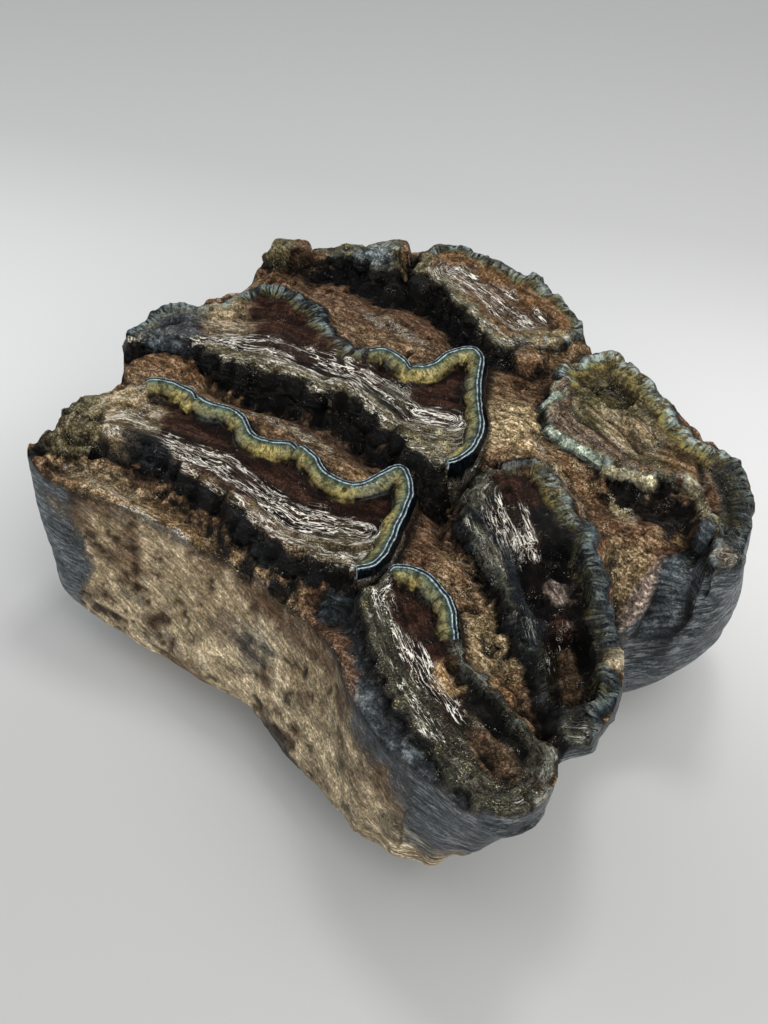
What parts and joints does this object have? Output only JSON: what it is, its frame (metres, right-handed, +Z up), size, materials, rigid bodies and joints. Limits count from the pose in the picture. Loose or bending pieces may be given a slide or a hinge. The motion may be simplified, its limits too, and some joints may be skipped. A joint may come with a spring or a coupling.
{
  "type": "fossil mammoth molar",
  "caption": "Broken piece of a fossil mammoth molar, with worn enamel lophs standing in cement over a flat broken underside.",
  "frame": {"origin": "on the resting plane, under the middle of the part's box", "axes": "+X across the tooth, its longest extent; +Y along the tooth, away from the broken front face; +Z up, from the resting face to the chewing surface"},
  "size_m": [0.1036, 0.0926, 0.0407],
  "materials": {
    "fossil": "worn enamel and dentine glossy, cement matt"
  },
  "bodies": {
    "root": {"molar": "fossil"}
  },
  "joints": []
}
